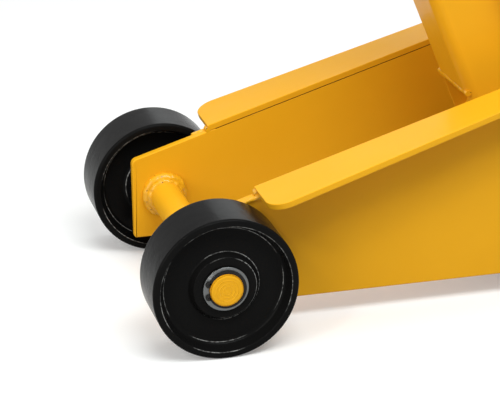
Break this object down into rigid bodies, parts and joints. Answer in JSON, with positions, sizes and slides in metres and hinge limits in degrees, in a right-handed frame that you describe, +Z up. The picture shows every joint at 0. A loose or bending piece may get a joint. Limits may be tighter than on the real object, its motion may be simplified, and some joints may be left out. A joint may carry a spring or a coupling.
{
  "type": "hydraulic trolley jack",
  "caption": "Long-chassis hydraulic trolley jack with flanged side plates, hinged lift arm, swivel saddle, rolling wheels, rear casters and a pump handle.",
  "frame": {"origin": "on the ground under the middle of the jack's overall box, arm raised and handle up", "axes": "+X from the front wheels towards the rear casters and handle, +Z up, near side plate at -Y"},
  "size_m": [1.1028, 0.332, 0.7937],
  "materials": {
    "yellow_paint": "glossy enamel",
    "wheel_black": "gloss black on cast iron",
    "unit_grey_paint": "satin black enamel on cast iron and tube",
    "zinc_plated": "zinc plated",
    "bright_steel": "machined, oiled",
    "black_steel": "black oxide",
    "hard_chrome": "polished",
    "spring_steel": "drawn wire",
    "seal_rubber": "matt",
    "grip_rubber": "ribbed, matt"
  },
  "bodies": {
    "frame": {"near_side_plate": "yellow_paint", "far_side_plate": "yellow_paint", "near_top_flange": "yellow_paint", "far_top_flange": "yellow_paint", "front_axle": "yellow_paint", "wheel_spacers": "zinc_plated", "wheel_washers": "zinc_plated", "shaft_circlips": "black_steel", "frame_tie_tube": "yellow_paint", "arm_pivot_shaft": "bright_steel", "pivot_spacer_tubes": "zinc_plated", "rod_anchor_pins": "yellow_paint", "spring_anchor_pins": "yellow_paint", "return_springs": "spring_steel", "ram_cylinder": "bright_steel", "oil_reservoir": "unit_grey_paint", "filler_plug": "seal_rubber", "ram_gland": "bright_steel", "pump_block": "unit_grey_paint", "unit_bolts": "zinc_plated", "release_valve_nut": "zinc_plated", "pump_spring": "spring_steel", "handle_pivot_pins": "zinc_plated", "caster_outriggers": "yellow_paint", "swivel_races": "zinc_plated", "kingpins_and_nuts": "zinc_plated"},
    "near_front_wheel": {"near_front_wheel": "wheel_black"},
    "far_front_wheel": {"far_front_wheel": "wheel_black"},
    "lift_arm": {"arm_channel": "yellow_paint", "arm_cover": "yellow_paint", "arm_pivot_tube": "yellow_paint", "arm_horn_cheeks": "yellow_paint", "push_roller_pin": "bright_steel", "yoke_pin": "zinc_plated"},
    "push_roller": {"push_roller": "bright_steel"},
    "saddle_yoke": {"saddle_yoke": "yellow_paint", "yoke_level_pin": "zinc_plated"},
    "saddle": {"saddle": "black_steel"},
    "radius_rods": {"radius_rods": "yellow_paint"},
    "ram": {"push_head": "bright_steel", "spring_bar": "bright_steel", "ram_rod": "hard_chrome", "ram_piston": "bright_steel", "piston_seal": "seal_rubber"},
    "pump_plunger": {"pump_plunger": "hard_chrome"},
    "handle": {"handle_socket_tube": "yellow_paint", "socket_cheeks": "yellow_paint", "handle_clamp_screw": "zinc_plated", "pump_roller_pin": "bright_steel", "handle_tube": "yellow_paint", "handle_grip": "grip_rubber"},
    "pump_roller": {"pump_roller": "bright_steel"},
    "release_valve": {"release_valve_spindle": "bright_steel", "release_tommy_bar": "bright_steel"},
    "near_caster": {"near_caster_fork": "yellow_paint", "near_caster_axle": "zinc_plated"},
    "near_caster_wheel": {"near_caster_wheel": "wheel_black"},
    "far_caster": {"far_caster_fork": "yellow_paint", "far_caster_axle": "zinc_plated"},
    "far_caster_wheel": {"far_caster_wheel": "wheel_black"}
  },
  "joints": [
    {"name": "near_front_wheel_spin", "type": "hinge", "parent": "frame", "child": "near_front_wheel", "pos_m": [-0.49636, -0.105, 0.055], "axis": [0, 1, 0], "continuous": true},
    {"name": "far_front_wheel_spin", "type": "hinge", "parent": "frame", "child": "far_front_wheel", "pos_m": [-0.49636, 0.105, 0.055], "axis": [0, 1, 0], "continuous": true},
    {"name": "arm_lift", "type": "hinge", "parent": "frame", "child": "lift_arm", "pos_m": [-0.22336, 0, 0.13], "axis": [0, 1, 0], "range_deg": [-70.3, 6.7]},
    {"name": "yoke_level", "type": "hinge", "parent": "lift_arm", "child": "saddle_yoke", "pos_m": [-0.35815, 0, 0.39801], "axis": [0, 1, 0], "range_deg": [-6.71, 70.31]},
    {"name": "radius_rod_swing", "type": "hinge", "parent": "frame", "child": "radius_rods", "pos_m": [-0.20236, 0, 0.164], "axis": [0, 1, 0], "range_deg": [-70.31, 6.71]},
    {"name": "saddle_swivel", "type": "hinge", "parent": "saddle_yoke", "child": "saddle", "pos_m": [-0.36415, 0, 0.44401], "axis": [0, 0, 1], "continuous": true},
    {"name": "push_roller_spin", "type": "hinge", "parent": "lift_arm", "child": "push_roller", "pos_m": [-0.26288, 0, 0.06626], "axis": [0, 1, 0], "continuous": true},
    {"name": "ram_slide", "type": "slide", "parent": "frame", "child": "ram", "axis": [-1, 0, 0], "range_m": [-0.0871, 0.00831], "deforming": ["return_springs"]},
    {"name": "handle_pump", "type": "hinge", "parent": "frame", "child": "handle", "pos_m": [0.11864, 0, 0.118], "axis": [0, 1, 0], "range_deg": [0, 40], "stiffness_Nm_per_rad": 12, "springref_deg": -40.11},
    {"name": "plunger_slide", "type": "slide", "parent": "frame", "child": "pump_plunger", "axis": [-1, 0, 0], "range_m": [-0.00001, 0.03104], "deforming": ["pump_spring"]},
    {"name": "pump_roller_spin", "type": "hinge", "parent": "handle", "child": "pump_roller", "pos_m": [0.13403, 0, 0.07571], "axis": [0, 1, 0], "continuous": true},
    {"name": "release_turn", "type": "hinge", "parent": "frame", "child": "release_valve", "pos_m": [0.06364, 0.043, 0.05], "axis": [1, 0, 0], "range_deg": [0, 180]},
    {"name": "near_caster_swivel", "type": "hinge", "parent": "frame", "child": "near_caster", "pos_m": [0.09364, -0.138, 0.0797], "axis": [0, 0, 1], "continuous": true},
    {"name": "near_caster_roll", "type": "hinge", "parent": "near_caster", "child": "near_caster_wheel", "pos_m": [0.11864, -0.138, 0.032], "axis": [0, 1, 0], "continuous": true},
    {"name": "far_caster_swivel", "type": "hinge", "parent": "frame", "child": "far_caster", "pos_m": [0.09364, 0.138, 0.0797], "axis": [0, 0, 1], "continuous": true},
    {"name": "far_caster_roll", "type": "hinge", "parent": "far_caster", "child": "far_caster_wheel", "pos_m": [0.11864, 0.138, 0.032], "axis": [0, 1, 0], "continuous": true}
  ],
  "couplings": [
    {"joint": "yoke_level", "follows": "arm_lift", "ratio": -1},
    {"joint": "radius_rod_swing", "follows": "arm_lift", "ratio": 1},
    {"joint": "ram_slide", "follows": "arm_lift", "m_per_rad": 0.070979},
    {"joint": "plunger_slide", "follows": "handle_pump", "m_per_rad": 0.044448}
  ]
}
